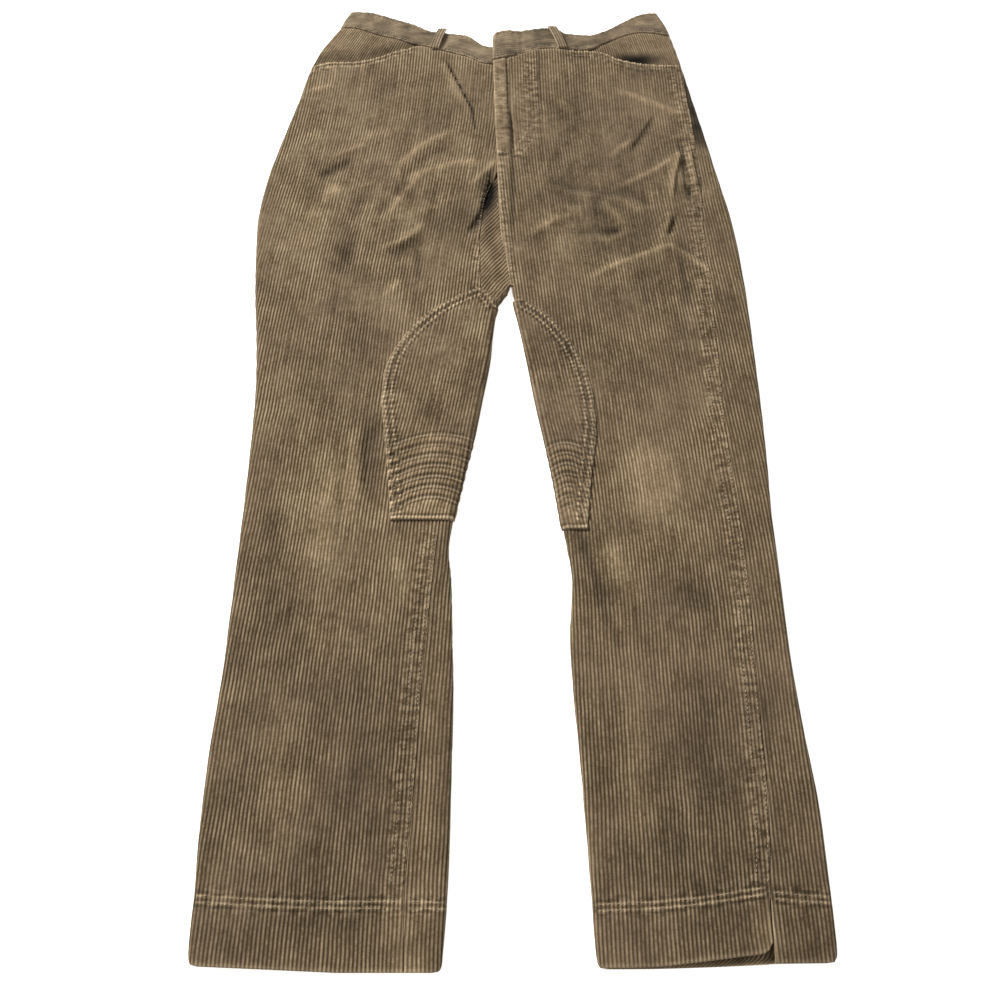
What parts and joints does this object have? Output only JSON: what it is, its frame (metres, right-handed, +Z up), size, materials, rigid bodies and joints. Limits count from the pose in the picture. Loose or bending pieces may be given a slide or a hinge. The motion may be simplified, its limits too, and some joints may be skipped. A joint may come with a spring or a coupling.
{
  "type": "jodhpurs",
  "caption": "Corduroy jodhpurs laid flat, face up: lapped fly, scooped pockets, belt loops, quilted inner-knee patches and turned-up hems.",
  "frame": {"origin": "under the middle of the garment, on the surface that it lies on", "axes": "+X towards the wearer's left leg, +Y from the hems to the waist, +Z up out of the front"},
  "size_m": [0.5082, 1.033, 0.0134],
  "materials": {
    "corduroy": "wide-wale cotton corduroy, brown olive, worn",
    "band": "the same corduroy with its wales along the band",
    "patch": "the same corduroy, sewn down in channels, worn paler"
  },
  "bodies": {
    "root": {"front_right": "corduroy", "front_left": "corduroy", "back_right": "corduroy", "back_left": "corduroy", "waistband_right": "band", "waistband_left": "band", "pocket_facing_right": "corduroy", "pocket_facing_left": "corduroy", "knee_patch_right": "patch", "knee_patch_left": "patch", "belt_loop_right": "band", "belt_loop_left": "band"}
  },
  "joints": []
}
